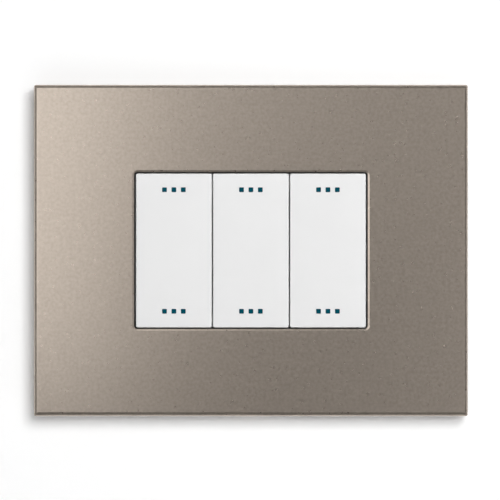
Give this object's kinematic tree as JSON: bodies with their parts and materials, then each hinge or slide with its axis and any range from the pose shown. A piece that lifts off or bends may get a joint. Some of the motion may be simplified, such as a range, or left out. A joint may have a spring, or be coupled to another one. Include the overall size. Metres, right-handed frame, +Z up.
{
  "type": "switch plate",
  "caption": "Rectangular wall switch plate in satin metallic taupe with flat white rocker keys side by side in a window, on a mounting frame with switch modules behind.",
  "frame": {"origin": "middle of the plate on the wall plane, midway between the two fixing screws", "axes": "+X to the right as seen from the front, +Y into the wall, +Z up"},
  "size_m": [0.127, 0.0343, 0.097],
  "materials": {
    "plate_metallic": "moulded plastic with a satin metallic taupe coating",
    "key_white": "satin white moulded plastic",
    "mark_teal": "dark teal inlaid plastic",
    "frame_grey": "grey moulded plastic",
    "module_white": "white moulded plastic",
    "module_grey": "dark grey moulded plastic",
    "carrier_plastic": "natural moulded plastic",
    "spring_bronze": "rolled phosphor bronze",
    "contact_silver": "silver alloy",
    "terminal_brass": "rolled brass strip",
    "plated_steel": "zinc-plated steel"
  },
  "bodies": {
    "wall_unit": {"cover_plate": "plate_metallic", "mounting_frame": "frame_grey", "fixing_screws": "plated_steel", "module_front_left": "module_white", "module_base_left": "module_grey", "upper_blade_left": "spring_bronze", "lower_blade_left": "spring_bronze", "upper_contact_left": "contact_silver", "lower_contact_left": "contact_silver", "fixed_contacts_left": "contact_silver", "upper_terminal_left": "terminal_brass", "lower_terminal_left": "terminal_brass", "common_terminal_left": "terminal_brass", "clamp_cages_left": "plated_steel", "terminal_screws_left": "plated_steel", "module_front_middle": "module_white", "module_base_middle": "module_grey", "upper_blade_middle": "spring_bronze", "lower_blade_middle": "spring_bronze", "upper_contact_middle": "contact_silver", "lower_contact_middle": "contact_silver", "fixed_contacts_middle": "contact_silver", "upper_terminal_middle": "terminal_brass", "lower_terminal_middle": "terminal_brass", "common_terminal_middle": "terminal_brass", "clamp_cages_middle": "plated_steel", "terminal_screws_middle": "plated_steel", "module_front_right": "module_white", "module_base_right": "module_grey", "upper_blade_right": "spring_bronze", "lower_blade_right": "spring_bronze", "upper_contact_right": "contact_silver", "lower_contact_right": "contact_silver", "fixed_contacts_right": "contact_silver", "upper_terminal_right": "terminal_brass", "lower_terminal_right": "terminal_brass", "common_terminal_right": "terminal_brass", "clamp_cages_right": "plated_steel", "terminal_screws_right": "plated_steel"},
    "rocker_left": {"key_left": "key_white", "key_marks_left": "mark_teal", "rocker_carrier_left": "carrier_plastic"},
    "rocker_middle": {"key_middle": "key_white", "key_marks_middle": "mark_teal", "rocker_carrier_middle": "carrier_plastic"},
    "rocker_right": {"key_right": "key_white", "key_marks_right": "mark_teal", "rocker_carrier_right": "carrier_plastic"}
  },
  "joints": [
    {"name": "rocker_left_tilt", "type": "hinge", "parent": "wall_unit", "child": "rocker_left", "pos_m": [-0.0225, -0.0033, 0], "axis": [-1, 0, 0], "range_deg": [-3.5, 3.5], "stiffness_Nm_per_rad": 0.6, "deforming": ["upper_blade_left", "lower_blade_left", "upper_contact_left", "lower_contact_left"]},
    {"name": "rocker_middle_tilt", "type": "hinge", "parent": "wall_unit", "child": "rocker_middle", "pos_m": [0, -0.0033, 0], "axis": [-1, 0, 0], "range_deg": [-3.5, 3.5], "stiffness_Nm_per_rad": 0.6, "deforming": ["upper_blade_middle", "lower_blade_middle", "upper_contact_middle", "lower_contact_middle"]},
    {"name": "rocker_right_tilt", "type": "hinge", "parent": "wall_unit", "child": "rocker_right", "pos_m": [0.0225, -0.0033, 0], "axis": [-1, 0, 0], "range_deg": [-3.5, 3.5], "stiffness_Nm_per_rad": 0.6, "deforming": ["upper_blade_right", "lower_blade_right", "upper_contact_right", "lower_contact_right"]}
  ]
}
